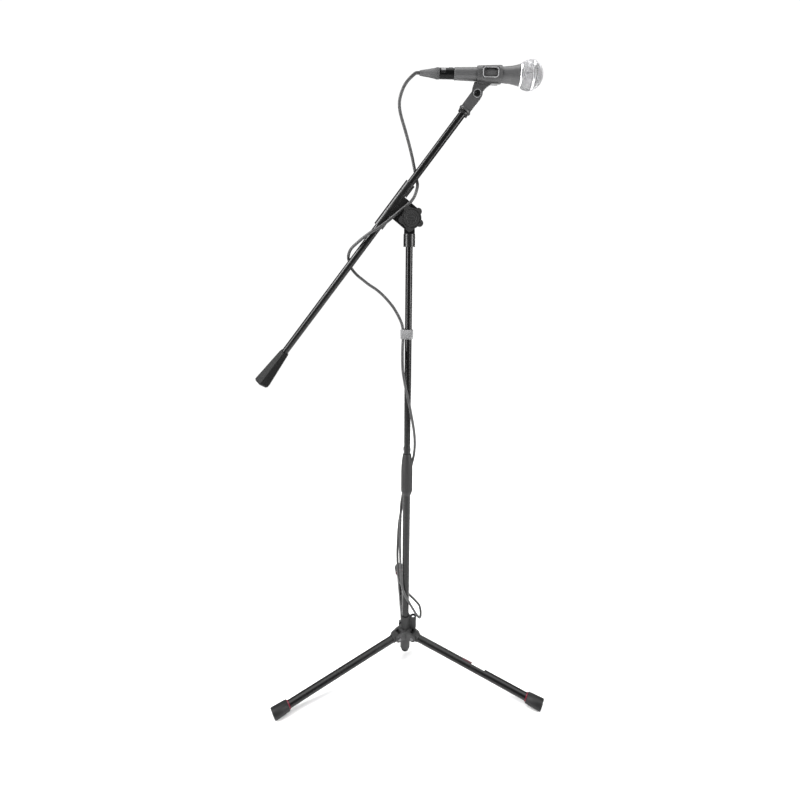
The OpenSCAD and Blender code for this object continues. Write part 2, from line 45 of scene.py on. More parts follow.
# Boom, from its tilt pivot to the clip's screw
PIVOT = Vector((0.0037, 0.0, 1.0745))
BOOM_SLOPE = math.radians(51.6)
BOOM_OFFSET = 0.043
CLIP_S = 0.246

# Microphone in its clip, and the ball's place along the microphone
MIC_DROP = math.radians(1.0)
MIC_RISE = 0.033
BALL_X = 0.095
BALL_R = 0.025
GRILLE_X = (0.0797, 0.0974)
DOME_X = 0.1021

# Grille wires: their radius and spacing, and how they weave just under the ball's surface
WIRE_R = 0.0004
WIRE_PITCH = 0.0023
WIRE_SINK = 1.6 * WIRE_R
WIRE_SWING = 0.8 * WIRE_R
WIRE_STEP = 0.0009

# Bare metal plate on the plug's shell
PLATE_X = (-0.0683, -0.0601)
PLATE_UP = -0.0012

# Painted highlights on the clip: light beads round the windows of the cradle and round the head of the
# screw
WINDOW_X = 0.022
WINDOW_SIDE = 0.0152
WINDOW_SIZE = (0.0278, 0.0158)
WINDOW_CORNER = 0.0046
WINDOW_BEAD_R = 0.0008
SCREW_RIM_R = 0.0066
SCREW_FACE = 0.009
SCREW_BEAD_R = 0.0006

# Strap: its edges, what it goes round (x, y, radius), and its lap in steps of the outline
STRAP_Z = (0.834, 0.854)
STRAP_ROUNDS = ((0, 0, 0.0072), (-0.011, -0.003, 0.003), (0, 0.018, 0.003))
STRAP_GAP = 0.0003
STRAP_THICK = 0.0012
STRAP_STEPS = 120
STRAP_LAP = 42
STRAP_RAMP = 8

# Emblem on the knob: its ring's profile (radius, depth), and its two bars
EMBLEM_SIDES = 48
EMBLEM_ROOT = 0.0001
EMBLEM_TOP = -0.0006
EMBLEM_RING = ((0.0085, EMBLEM_ROOT), (0.0088, EMBLEM_TOP), (0.0102, EMBLEM_TOP), (0.0105, EMBLEM_ROOT))
BAR_HALF = (0.006, 0.0012)
BAR_BEVEL = 0.0003
BAR_Z = 0.0026

# Legs, their rubber feet, and the label on the right one
LEG_AZIMUTHS = tuple(math.radians(93 + 120 * k) for k in range(3))
HINGE_R = 0.026
HINGE_Z = 0.07
FOOT_END_R = 0.355
FOOT_END_Z = 0.0133
FOOT_LEN = 0.037
FOOT_NECK_R = 0.0137
FOOT_R = 0.0153
FOOT_SIDES = 64
LABEL_LEG = math.radians(-27.0)
LABEL_HINGE = Vector((HINGE_R * math.cos(LABEL_LEG), HINGE_R * math.sin(LABEL_LEG), HINGE_Z))
LABEL_UP = Vector((0.432, 0.597, 0.675))
LABEL_STRIP = (0.0046, 0.0084)
LABEL_RED_END = 0.1815

# Camera: where it stands, how far it looks down, and its lens
CAMERA_AT = (-0.0089, -1.0591, 1.0199)
CAMERA_PITCH = math.radians(16.96)
CAMERA_TURN = math.radians(0.43)
CAMERA_ROLL = math.radians(0.35)
CAMERA_LENS = 22.47


def boom_point(s, h):
    """A point s along the boom from its tilt pivot, and h out from the pivot."""
    along = Vector((math.cos(BOOM_SLOPE), 0, math.sin(BOOM_SLOPE)))
    out = Vector((-math.sin(BOOM_SLOPE), 0, math.cos(BOOM_SLOPE)))
    return PIVOT + s * along + h * out


CLIP = boom_point(CLIP_S, BOOM_OFFSET)
MIC_ALONG = Vector((math.cos(MIC_DROP), 0, -math.sin(MIC_DROP)))
MIC_UP = Vector((math.sin(MIC_DROP), 0, math.cos(MIC_DROP)))


def mic_point(x, side=0.0, up=0.0):
    """A point in the microphone's own axes: x along it from the clip's screw."""
    return CLIP + x * MIC_ALONG + side * Vector((0, 1, 0)) + (MIC_RISE + up) * MIC_UP


def mm(*points):
    """Route points given in millimetres, as vectors in metres."""
    return [Vector(p) / 1000 for p in points]


# ---- Route of the cable, as in the CAD part ----

ROUTE_MIC = [mic_point(-0.108), mic_point(-0.114)] + mm(
    (2, 0, 1324), (-5, 1, 1318), (-12, 1, 1309), (-17, 2, 1299), (-21, 3, 1285), (-21, 4, 1272),
    (-18, 5, 1259), (-10, 7, 1235), (-2, 9, 1210), (4, 12, 1189), (7, 13, 1176), (10, 12, 1163))
ROUTE_BOOM = mm(
    (10, 12, 1163), (13, 11, 1150), (15, 2, 1138), (13, -5, 1127), (8, -10, 1114), (-1, -13, 1103),
    (-15, -14, 1092), (-29, -14, 1081), (-43, -14, 1070), (-62, -14, 1057), (-75, -14, 1050),
    (-87, -12, 1042), (-98, -10, 1034), (-108, -7, 1026), (-117, -3, 1018), (-123, 3, 1008),
    (-125, 9, 998), (-122, 10, 988))
ROUTE_HANG = mm(
    (-122, 10, 988), (-119, 11, 978), (-108, 10, 965), (-95, 7, 955), (-83, 5, 946), (-70, 2, 938),
    (-57, -1, 928), (-44, -3, 915), (-31, -4, 899), (-21, -4, 882), (-14, -3, 866), (-11, -3, 852))
ROUTE_DOWN = mm(
    (-11, -3, 852), (-11, -3, 834), (-12, -7, 815), (-12, -12, 793), (-11, -14, 768), (-7, -16, 742),
    (1, -17, 704), (8, -15, 668), (14, -10, 634), (17, -4, 604), (17, 4, 574), (14, 10, 550),
    (8, 16, 522), (0, 18, 495), (-8, 16, 463), (-13, 12, 428), (-14, 6, 392), (-15, 0, 345),
    (-14, -4, 300), (-12, -7, 250), (-9, -11, 220), (-2, -14, 196), (6, -13, 178), (13, -10, 162),
    (20, -8, 147), (27, -7, 133), (33, -5, 123), (36, 0, 116))
ROUTE_UP = mm(
    (36, 0, 116), (39, 9, 111), (40, 18, 115), (39, 23, 124), (36, 23, 135), (30, 20, 146),
    (24, 17, 156), (16, 13, 168), (6, 13, 180), (-6, 14, 197), (-15, 12, 216), (-19, 8, 238),
    (-20, 5, 264), (-21, 3, 300), (-20, 9, 340), (-17, 15, 385), (-9, 22, 430), (-2, 25, 470),
    (0, 25, 505), (0, 24, 545), (0, 20, 590), (0, 18, 640), (0, 18, 700), (0, 17, 793),
    (0, 13, 825), (0, 11, 845))
ROUTE_FOLD = mm(
    (0, 11, 845), (0, 11, 865), (0, 11, 884), (0, 16, 899), (0, 26, 907), (0, 36, 904), (0, 42, 893),
    (0, 40, 880), (0, 32, 869), (0, 23, 862), (0, 18, 853), (0, 18, 836), (0, 20, 820),
    (0, 24, 793), (0, 25, 700), (0, 27, 650), (0, 32, 620), (0, 36, 602), (0, 38, 588))

# ---- Mesh helpers ----

def link_mesh(name, points, faces, smooth=True):
    """A new object in the scene, made from points and faces."""
    mesh = bpy.data.meshes.new(name)
    mesh.from_pydata([tuple(p) for p in points], [], faces)
    mesh.polygons.foreach_set("use_smooth", [smooth] * len(mesh.polygons))
    mesh.update()
    obj = bpy.data.objects.new(name, mesh)
    bpy.context.scene.collection.objects.link(obj)
    return obj


def spline(points, step):
    """Smooth centripetal curve through the points, cut into pieces about step long."""
    first = points[0] * 2 - points[1]
    last = points[-1] * 2 - points[-2]
    padded = [first] + list(points) + [last]
    line = []
    for k in range(1, len(padded) - 2):
        p0, p1, p2, p3 = padded[k - 1:k + 3]
        t1 = max((p1 - p0).length, 1e-6) ** 0.5
        t2 = t1 + max((p2 - p1).length, 1e-6) ** 0.5
        t3 = t2 + max((p3 - p2).length, 1e-6) ** 0.5
        count = max(2, round((p2 - p1).length / step))
        for j in range(count):
            t = t1 + (t2 - t1) * j / count
            a1 = p0 * ((t1 - t) / t1) + p1 * (t / t1)
            a2 = p1 * ((t2 - t) / (t2 - t1)) + p2 * ((t - t1) / (t2 - t1))
            a3 = p2 * ((t3 - t) / (t3 - t2)) + p3 * ((t - t2) / (t3 - t2))
            b1 = a1 * ((t2 - t) / t2) + a2 * (t / t2)
            b2 = a2 * ((t3 - t) / (t3 - t1)) + a3 * ((t - t1) / (t3 - t1))
            line.append(b1 * ((t2 - t) / (t2 - t1)) + b2 * ((t - t1) / (t2 - t1)))
    line.append(points[-1].copy())
    return line


def route_frames(line, side=Vector((0, 1, 0))):
    """Heading and a side vector at each point, with the side carried along without twist."""
    frames = []
    for k, p in enumerate(line):
        heading = (line[min(k + 1, len(line) - 1)] - line[max(k - 1, 0)]).normalized()
        side = (side - heading * side.dot(heading)).normalized()
        frames.append((p, heading, side))
    return frames


def ring_faces(rings, sides):
    """Faces between rings of points that follow each other, with the same count of sides."""
    faces = []
    for i in range(rings - 1):
        for k in range(sides):
            a, b = i * sides + k, i * sides + (k + 1) % sides
            faces.append((a, b, b + sides, a + sides))
    return faces


def tube_rings(frames, radius, sides):
    """Points and faces of a round closed tube through the frames."""
    points = []
    for p, heading, side in frames:
        other = heading.cross(side)
        for k in range(sides):
            a = 2 * math.pi * k / sides
            points.append(p + radius * (math.cos(a) * side + math.sin(a) * other))
    faces = ring_faces(len(frames), sides)
    faces.append(tuple(reversed(range(sides))))
    faces.append(tuple(range(len(points) - sides, len(points))))
    return points, faces


def tube(name, line, radius, sides=16):
    """A round tube along a line."""
    points, faces = tube_rings(route_frames(line), radius, sides)
    return link_mesh(name, points, faces)


# ---- Materials ----

class Shader:
    """A Principled material with helpers for procedural detail in object coordinates."""

    def __init__(self, name, color, roughness, metallic=0.0, **sockets):
        self.material = bpy.data.materials.new(name)
        self.material.use_nodes = True
        self.tree = self.material.node_tree
        self.bsdf = self.tree.nodes["Principled BSDF"]
        self.coords = self.tree.nodes.new("ShaderNodeTexCoord").outputs["Object"]
        self.set("Base Color", (*color, 1))
        self.set("Roughness", roughness)
        self.set("Metallic", metallic)
        for socket, value in sockets.items():
            self.set(socket.replace("_", " "), value)

    def set(self, socket, value):
        self.bsdf.inputs[socket].default_value = value

    def node(self, kind, **values):
        made = self.tree.nodes.new(kind)
        for key, value in values.items():
            made.inputs[key.replace("_", " ")].default_value = value
        return made

    def link(self, a, b):
        self.tree.links.new(a, b)

    def noise(self, scale, detail=3.0, roughness=0.5, stretch=(1, 1, 1)):
        mapping = self.node("ShaderNodeMapping", Scale=stretch)
        self.link(self.coords, mapping.inputs["Vector"])
        noise = self.node("ShaderNodeTexNoise", Scale=scale, Detail=detail, Roughness=roughness)
        self.link(mapping.outputs[0], noise.inputs["Vector"])
        return noise.outputs["Fac"]

    def ramp(self, value, low, high, start=0.3, end=0.7):
        """Maps a value that runs from start to end onto a number from low to high."""
        made = self.node("ShaderNodeMapRange", From_Min=start, From_Max=end, To_Min=low, To_Max=high)
        self.link(value, made.inputs["Value"])
        return made.outputs["Result"]

    def step(self, value, at, width=0.0002):
        """0 below a value and 1 above it."""
        return self.ramp(value, 0, 1, at, at + width)

    def between(self, value, low, high, width=0.0002):
        """1 between two values and 0 outside them."""
        below_end = self.ramp(value, 1, 0, high, high + width)
        return self.math("MULTIPLY", self.step(value, low, width), below_end)

    def vary_roughness(self, value, low, high):
        self.link(self.ramp(value, low, high), self.bsdf.inputs["Roughness"])

    def vary_color(self, value, low, high, start=0.3, end=0.7):
        mix = self.tree.nodes.new("ShaderNodeMix")
        mix.data_type = "RGBA"
        self.link(self.ramp(value, 0, 1, start, end), mix.inputs["Factor"])
        mix.inputs["A"].default_value = (*low, 1)
        mix.inputs["B"].default_value = (*high, 1)
        self.link(mix.outputs["Result"], self.bsdf.inputs["Base Color"])
        return mix

    def bump(self, value, strength, distance, edge=0.0):
        """Fine relief, over edges that are rounded by the given radius where there is one."""
        made = self.node("ShaderNodeBump", Strength=strength, Distance=distance)
        if edge:
            rounding = self.node("ShaderNodeBevel", Radius=edge)
            self.link(rounding.outputs["Normal"], made.inputs["Normal"])
        self.link(value, made.inputs["Height"])
        self.link(made.outputs["Normal"], self.bsdf.inputs["Normal"])

    def fade_out(self, reach):
        """Solid near the origin, and clear at the given reach."""
        mapping = self.node("ShaderNodeMapping", Scale=(1 / reach,) * 3)
        self.link(self.coords, mapping.inputs["Vector"])
        gradient = self.tree.nodes.new("ShaderNodeTexGradient")
        gradient.gradient_type = "SPHERICAL"
        self.link(mapping.outputs[0], gradient.inputs["Vector"])
        self.link(self.ramp(gradient.outputs["Fac"], 0, 1, 0.05, 0.6), self.bsdf.inputs["Alpha"])

    def along(self, direction, origin=Vector()):
        """Distance of a point from the origin, measured along a direction."""
        made = self.tree.nodes.new("ShaderNodeVectorMath")
        made.operation = "DOT_PRODUCT"
        made.inputs[1].default_value = direction
        self.link(self.coords, made.inputs[0])
        return self.math("SUBTRACT", made.outputs["Value"], origin.dot(direction))

    def math(self, operation, a, b):
        made = self.tree.nodes.new("ShaderNodeMath")
        made.operation = operation
        for socket, value in zip(made.inputs, (a, b)):
            if isinstance(value, float):
                socket.default_value = value
            else:
                self.link(value, socket)
        return made.outputs["Value"]


def grey(value):
    return (value, value, value * 1.02)


def tube_paint():
    s = Shader("tube_paint", grey(0.004), 0.26, Specular_IOR_Level=0.3)
    s.vary_roughness(s.noise(60, 4), 0.22, 0.3)
    s.bump(s.noise(260, 2), 0.02, 0.0002)
    return s.material


def casting_paint():
    s = Shader("casting_paint", grey(0.008), 0.28, Specular_IOR_Level=0.4)
    s.vary_color(s.noise(90, 4), grey(0.005), grey(0.011))
    s.vary_roughness(s.noise(140, 3), 0.24, 0.33)
    s.bump(s.noise(1400, 3), 0.05, 0.0003, edge=0.0008)
    return s.material


def hub_paint():
    s = Shader("hub_paint", grey(0.021), 0.5, Specular_IOR_Level=0.42)
    s.vary_color(s.noise(90, 4), grey(0.018), grey(0.024))
    s.vary_roughness(s.noise(200, 3), 0.44, 0.56)
    s.bump(s.noise(1800, 3), 0.12, 0.0003, edge=0.001)
    return s.material


def moulded_plastic(name, value, roughness):
    s = Shader(name, grey(value), roughness, Specular_IOR_Level=0.4)
    s.vary_color(s.noise(40, 4), grey(value * 0.88), grey(value * 1.12))
    s.vary_roughness(s.noise(220, 3), roughness - 0.06, roughness + 0.06)
    s.bump(s.noise(2200, 2), 0.12, 0.00015, edge=0.0008)
    return s.material


def rubber(name, value):
    s = Shader(name, grey(value), 0.5, Specular_IOR_Level=0.22)
    s.vary_color(s.noise(80, 4), grey(value * 0.8), grey(value * 1.3))
    s.vary_roughness(s.noise(160, 3), 0.42, 0.56)
    s.bump(s.noise(1600, 3), 0.15, 0.0002, edge=0.001)
    return s.material


def crimson_plastic():
    s = Shader("crimson_plastic", (0.13, 0.004, 0.016), 0.35, Specular_IOR_Level=0.3)
    s.vary_color(s.noise(200, 2), (0.1, 0.003, 0.013), (0.16, 0.005, 0.02))
    s.vary_roughness(s.noise(300, 2), 0.3, 0.42)
    return s.material


def metal(name, color, roughness, scale=500):
    s = Shader(name, color, roughness, metallic=1.0)
    s.vary_roughness(s.noise(scale, 3), roughness * 0.88, roughness * 1.12)
    s.bump(s.noise(scale * 3, 2), 0.08, 0.0001, edge=0.0003)
    return s.material


def weight_coat():
    s = Shader("weight_coat", grey(0.004), 0.42, Specular_IOR_Level=0.1)
    s.vary_color(s.noise(500, 3), grey(0.002), grey(0.007))
    s.vary_roughness(s.noise(300, 3), 0.34, 0.46)
    s.bump(s.noise(500, 4, 0.6), 0.4, 0.0006, edge=0.002)
    return s.material


def strap_fabric():
    s = Shader("strap_fabric", grey(0.13), 0.9, Sheen_Weight=0.4)
    s.vary_color(s.noise(1300, 3), grey(0.08), grey(0.2))
    s.bump(s.noise(2600, 4, 0.7), 0.8, 0.0006)
    return s.material


def mic_enamel():
    s = Shader("mic_enamel", grey(0.055), 0.4)
    s.vary_color(s.noise(1800, 2), grey(0.045), grey(0.065))
    s.vary_roughness(s.noise(300, 3), 0.34, 0.46)
    s.bump(s.noise(2400, 2), 0.12, 0.0002, edge=0.0006)
    return s.material


def plug_body():
    """Black shell with a bare metal plate on its upper side, behind the latch."""
    s = Shader("plug_body", grey(0.003), 0.3, Specular_IOR_Level=0.16)
    lengthwise = s.between(s.along(MIC_ALONG, CLIP), *PLATE_X)
    upper = s.step(s.along(MIC_UP, mic_point(0)), PLATE_UP)
    plate = s.math("MULTIPLY", lengthwise, upper)
    s.link(plate, s.bsdf.inputs["Metallic"])
    s.vary_color(plate, grey(0.003), grey(0.14), 0, 1)
    s.bump(s.noise(1200, 2), 0.05, 0.0001)
    return s.material


def grille_wire():
    s = Shader("grille_wire", grey(0.5), 0.4, metallic=1.0)
    s.vary_color(s.noise(500, 2), grey(0.44), grey(0.56))
    s.vary_roughness(s.noise(900, 2), 0.28, 0.42)
    return s.material


def foam():
    s = Shader("foam", grey(0.04), 0.95)
    s.vary_color(s.noise(1500, 3), grey(0.012), grey(0.03))
    s.bump(s.noise(1500, 4, 0.7), 0.9, 0.0008)
    return s.material


def cable_jacket():
    s = Shader("cable_jacket", grey(0.03), 0.45)
    s.vary_color(s.noise(120, 3), grey(0.024), grey(0.038))
    s.vary_roughness(s.noise(200, 2), 0.4, 0.5)
    s.bump(s.noise(1500, 2), 0.15, 0.0001)
    return s.material


def leg_label():
    """Dull red field at the label's upper end, then a white strip within a black field."""
    s = Shader("leg_label", grey(0.006), 0.4)
    place = s.along(Vector((math.cos(LABEL_LEG), math.sin(LABEL_LEG), 0)))
    strip_field = s.between(s.along(LABEL_UP, LABEL_HINGE), *LABEL_STRIP)
    strip = s.vary_color(strip_field, grey(0.006), (0.8, 0.8, 0.78), 0, 1)
    ends = s.tree.nodes.new("ShaderNodeMix")
    ends.data_type = "RGBA"
    s.link(s.step(place, LABEL_RED_END, 0.0003), ends.inputs["Factor"])
    ends.inputs["A"].default_value = (0.05, 0.011, 0.017, 1)
    s.link(strip.outputs["Result"], ends.inputs["B"])
    s.link(ends.outputs["Result"], s.bsdf.inputs["Base Color"])
    s.bump(s.noise(600, 2), 0.05, 0.0001)
    return s.material


# ---- Rubber feet ----

def make_feet(finish):
    """Boots with a square shoulder behind the ring, flattened where they stand on the floor."""
    drop, run = HINGE_Z - FOOT_END_Z, FOOT_END_R - HINGE_R
    slope, reach = math.atan2(drop, run), math.hypot(drop, run)
    start = reach - FOOT_LEN
    profile = (
        (start, 0.01),
        (start, FOOT_NECK_R - 0.0009),
        (start + 0.0009, FOOT_NECK_R),
        (reach - 0.003, FOOT_R),
        (reach - 0.001, FOOT_R - 0.0004),
        (reach, FOOT_R - 0.002),
        (reach, 0.0),
    )
    faces = ring_faces(len(profile), FOOT_SIDES)
    for k, azimuth in enumerate(LEG_AZIMUTHS):
        out = Vector((math.cos(azimuth), math.sin(azimuth), 0))
        along = math.cos(slope) * out - Vector((0, 0, math.sin(slope)))
        side = Vector((0, 0, 1)).cross(out)
        up = along.cross(side)
        hinge = HINGE_R * out + Vector((0, 0, HINGE_Z))
        points = []
        for x, radius in profile:
            for j in range(FOOT_SIDES):
                a = 2 * math.pi * j / FOOT_SIDES
                p = hinge + x * along + radius * (math.cos(a) * side + math.sin(a) * up)
                points.append(Vector((p.x, p.y, max(p.z, 0))))
        foot = link_mesh(f"rubber_foot_{k + 1}", points, faces)
        foot.data.materials.append(finish)
        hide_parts(f"foot_{k + 1}")
        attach(foot, f"leg_{k + 1}")


# ---- Grille of the microphone ----

def ball_point(x, turn, lift):
    """A point of the ball at x along the microphone, turned about its axis, and lifted off it."""
    scale = 1 + lift / BALL_R
    radius = math.sqrt(BALL_R ** 2 - (x - BALL_X) ** 2) * scale
    return mic_point(BALL_X + (x - BALL_X) * scale, radius * math.cos(turn), radius * math.sin(turn))


def weave(hand, phase):
    """How far a wire is lifted off the ball as it passes over and under the ones it crosses."""
    return hand * WIRE_SWING * math.cos(math.pi * phase) - WIRE_SINK


def add_wire(points, faces, line, sides=5):
    """Adds a thin wire along a line to a mesh that is being built."""
    more, skins = tube_rings(route_frames(line, MIC_ALONG), WIRE_R, sides)
    faces += [tuple(i + len(points) for i in face) for face in skins]
    points += more


def lower_grille():
    """Diagonal wires both ways round the lower half of the ball, woven over and under."""
    points, faces = [], []
    count, steps, crossings = 44, 28, 7
    x0, x1 = GRILLE_X
    sweep = 2 * math.pi * crossings / count
    for hand in (1, -1):
        for k in range(count):
            line = []
            for j in range(steps + 1):
                t = j / steps
                turn = 2 * math.pi * k / count + hand * sweep * t
                line.append(ball_point(x0 + (x1 - x0) * t, turn, weave(hand, 2 * crossings * t)))
            add_wire(points, faces, line)
    return link_mesh("grille_weave_lower", points, faces)


def dome_grille():
    """Straight wires both ways over the front of the ball, woven over and under."""
    points, faces = [], []
    rim = math.sqrt(BALL_R ** 2 - (DOME_X - BALL_X) ** 2)
    count = int(rim / WIRE_PITCH)
    for hand in (1, -1):
        for k in range(-count, count + 1):
            across = k * WIRE_PITCH
            reach = math.sqrt(rim ** 2 - across ** 2)
            steps = max(6, round(2 * reach / WIRE_STEP))
            line = []
            for j in range(steps + 1):
                run = reach * (2 * j / steps - 1)
                y, z = (run - hand * across) / 2 ** 0.5, (hand * run + across) / 2 ** 0.5
                x = math.sqrt(BALL_R ** 2 - run ** 2 - across ** 2)
                scale = 1 + weave(hand, run / WIRE_PITCH + k) / BALL_R
                line.append(mic_point(BALL_X + x * scale, y * scale, z * scale))
            add_wire(points, faces, line)
    return link_mesh("grille_weave_dome", points, faces)


def grille_foam():
    """Thin foam lining just inside the wires."""
    points = []
    turns, rows = 48, 20
    radius = BALL_R - 5 * WIRE_R
    start = math.acos((GRILLE_X[0] + 0.0006 - BALL_X) / radius)
    for i in range(rows + 1):
        a = start * (1 - i / rows)
        ring = radius * math.sin(a)
        for k in range(turns):
            b = 2 * math.pi * k / turns
            points.append(mic_point(BALL_X + radius * math.cos(a), ring * math.cos(b), ring * math.sin(b)))
    return link_mesh("grille_foam", points, ring_faces(rows + 1, turns))


def make_grille(finishes):
    """Woven wires in place of the two CAD grilles, and the foam behind them."""
    pieces = (
        (lower_grille(), "mesh", ["grille_lower"]),
        (dome_grille(), "mesh", ["grille_dome"]),
        (grille_foam(), "foam", []),
    )
    for piece, slot, nodes in pieces:
        piece.data.materials.append(finishes[slot])
        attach(piece, "microphone")
        if nodes:
            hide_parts(*nodes)


# ---- Strap ----

def hull(points):
    """Outline of a set of flat points, counter-clockwise."""
    def half(run):
        line = []
        for p in run:
            while len(line) > 1 and (line[-1] - line[-2]).cross(p - line[-2]) <= 0:
                line.pop()
            line.append(p)
        return line[:-1]
    points = sorted(points, key=lambda p: (p.x, p.y))
    return half(points) + half(points[::-1])


def even_loop(outline, count):
    """A closed outline cut into equal steps."""
    loop = outline + outline[:1]
    total = sum((b - a).length for a, b in zip(loop, loop[1:]))
    line, walked, k = [], 0.0, 0
    for i in range(count):
        target = total * i / count
        while walked + (loop[k + 1] - loop[k]).length < target:
            walked += (loop[k + 1] - loop[k]).length
            k += 1
        line.append(loop[k].lerp(loop[k + 1], (target - walked) / (loop[k + 1] - loop[k]).length))
    return line


def make_strap(finishes):
    """Hook-and-loop strap: one turn round the mast and the lead, and its lapped end."""
    turns = [math.pi * k / 24 for k in range(48)]
    outline = hull([
        Vector((x + (r + STRAP_GAP) * math.cos(a), y + (r + STRAP_GAP) * math.sin(a)))
        for x, y, r in STRAP_ROUNDS
        for a in turns
    ])
    loop = even_loop(outline, STRAP_STEPS)
    lap_start = STRAP_STEPS - STRAP_RAMP
    z0, z1 = STRAP_Z
    profile = ((0, z0), (STRAP_THICK, z0), (0.0014, (z0 + z1) / 2), (STRAP_THICK, z1), (0, z1))
    points = []
    for k in range(STRAP_STEPS + STRAP_LAP):
        here, ahead = loop[k % STRAP_STEPS], loop[(k + 1) % STRAP_STEPS]
        out = Vector((ahead.y - here.y, here.x - ahead.x)).normalized()
        rise = 0.0013 * min(1, max(0, (k - lap_start) / STRAP_RAMP))
        wave = 0.0007 * math.sin(k * 0.37) if k < lap_start else 0.0005
        for depth, z in profile:
            p = here + out * (depth + rise)
            points.append((p.x, p.y, z + (wave * 0.3 if z == z0 else -abs(wave) * 0.3)))
    sides = len(profile)
    faces = ring_faces(STRAP_STEPS + STRAP_LAP, sides)
    faces += [tuple(range(sides))[::-1], tuple(range(len(points) - sides, len(points)))]
    strap = link_mesh("lead_strap", points, faces)
    strap.data.materials.append(finishes["strap"])
    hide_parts("cable_strap")
    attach(strap, "upper_mast")


# ---- Painted highlights on the clip: light beads round its windows and its screw ----

def swept_ring(name, path, radius, sides=8):
    """A closed round bead along a closed path."""
    count = len(path)
    points, faces = [], []
    for k, p in enumerate(path):
        heading = (path[(k + 1) % count] - path[k - 1]).normalized()
        side = heading.cross(Vector((0, 1, 0))).normalized()
        other = heading.cross(side)
        for j in range(sides):
            a = 2 * math.pi * j / sides
            points.append(p + radius * (math.cos(a) * side + math.sin(a) * other))
    for k in range(count):
        for j in range(sides):
            a, b = k * sides + j, k * sides + (j + 1) % sides
            c, d = (k + 1) % count * sides + j, (k + 1) % count * sides + (j + 1) % sides
            faces.append((a, b, d, c))
    return link_mesh(name, points, faces)


def rounded_box(width, height, corner, steps=8):
    """Outline of a box with round corners, about its centre."""
    line = []
    for quarter, (side_x, side_y) in enumerate(((1, 1), (-1, 1), (-1, -1), (1, -1))):
        x, y = side_x * (width / 2 - corner), side_y * (height / 2 - corner)
        for k in range(steps + 1):
            a = math.pi / 2 * (quarter + k / steps)
            line.append((x + corner * math.cos(a), y + corner * math.sin(a)))
    return line


def add_highlight_bead(piece, body, material):
    """Gives a bead its material, and the body that it moves with."""
    piece.data.materials.append(material)
    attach(piece, body)


def make_painted_highlight_beads():
    """Light grey beads round the cradle's windows and round the head of its screw, as painted highlights.
    """
    # painted highlight: light grey plastic standing for the light caught along the window edges and round
    # the screw's head
    light = moulded_plastic("clip_painted_highlight", 0.2, 0.3)
    outline = rounded_box(*WINDOW_SIZE, WINDOW_CORNER)
    for name, side in (("window_painted_highlight_front", -WINDOW_SIDE), ("window_painted_highlight_back", WINDOW_SIDE)):
        path = [mic_point(WINDOW_X + x, side, z) for x, z in outline]
        add_highlight_bead(swept_ring(name, path, WINDOW_BEAD_R), "cradle", light)
    along, out = boom_point(1, 0) - PIVOT, boom_point(0, 1) - PIVOT
    face = Vector((0, -SCREW_FACE, 0))
    turns = [2 * math.pi * k / 40 for k in range(40)]
    path = [CLIP + SCREW_RIM_R * (math.cos(a) * along + math.sin(a) * out) + face for a in turns]
    add_highlight_bead(swept_ring("screw_painted_highlight", path, SCREW_BEAD_R), "clip_base", light)


# ---- Emblem on the knob ----

def add_bar(points, faces, centre, rise):
    """Adds a raised bar with bevelled edges to a mesh that is being built."""
    start = len(points)
    for bevel, depth in ((0, EMBLEM_ROOT), (BAR_BEVEL, EMBLEM_TOP)):
        x, z = BAR_HALF[0] - bevel, BAR_HALF[1] - bevel
        for side_x, side_z in ((-1, -1), (1, -1), (1, 1), (-1, 1)):
            points.append(centre + Vector((side_x * x, depth, side_z * z + rise)))
    faces += [tuple(start + i for i in face) for face in ring_faces(2, 4) + [(4, 5, 6, 7)]]


def make_emblem(finishes):
    """Plain raised ring and two bars on the knob's cap."""
    low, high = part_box("knob_cap")
    centre = Vector(((low[0] + high[0]) / 2, low[1], (low[2] + high[2]) / 2))
    points, faces = [], []
    for k in range(EMBLEM_SIDES):
        a = 2 * math.pi * k / EMBLEM_SIDES
        for radius, depth in EMBLEM_RING:
            points.append(centre + Vector((radius * math.cos(a), depth, radius * math.sin(a))))
    row = len(EMBLEM_RING)
    for k in range(EMBLEM_SIDES):
        for j in range(row - 1):
            a, b = k * row + j, (k + 1) % EMBLEM_SIDES * row + j
            faces.append((a, a + 1, b + 1, b))
    for rise in (-BAR_Z, BAR_Z):
        add_bar(points, faces, centre, rise)
    emblem = link_mesh("knob_emblem", points, faces, smooth=False)
    emblem.data.materials.append(finishes["grey_plastic"])
    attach(emblem, "knob")


# ---- Cable ----

ROUTES = {
    # route: points, step of its curve, CAD node that it replaces
    "mic": (ROUTE_MIC, 0.0025, "cable_mic"),
    "boom": (ROUTE_BOOM, 0.0025, "cable_boom"),
    "hang": (ROUTE_HANG, 0.0025, "cable_hang"),
    "down": (ROUTE_DOWN, 0.003, "cable_mast"),
    "up": (ROUTE_UP, 0.003, "cable_mast"),
    "fold": (ROUTE_FOLD, 0.0025, "cable_mast"),
}
CHAIN = [
    # name, route, from, to, bodies that it runs between
    ("cable_1", "mic", 0.0, 0.2, ("plug", "microphone")),
    ("cable_2", "mic", 0.2, 0.4, ("microphone", "cradle")),
    ("cable_3", "mic", 0.4, 0.6, ("cradle", "clip_base")),
    ("cable_4", "mic", 0.6, 0.8, ("clip_base", "boom")),
    ("cable_5", "mic", 0.8, 1.0, ("boom", "clamp")),
    ("cable_6", "boom", 0.0, 1.0, ("clamp", "clamp")),
    ("cable_7", "hang", 0.0, 0.55, ("clamp", "head")),
    ("cable_8", "hang", 0.55, 1.0, ("head", "upper_mast")),
    ("cable_9", "down", 0.0, 1.0, ("upper_mast", "base")),
    ("cable_10", "up", 0.0, 1.0, ("base", "upper_mast")),
    ("cable_11", "fold", 0.0, 1.0, ("upper_mast", "upper_mast")),
]


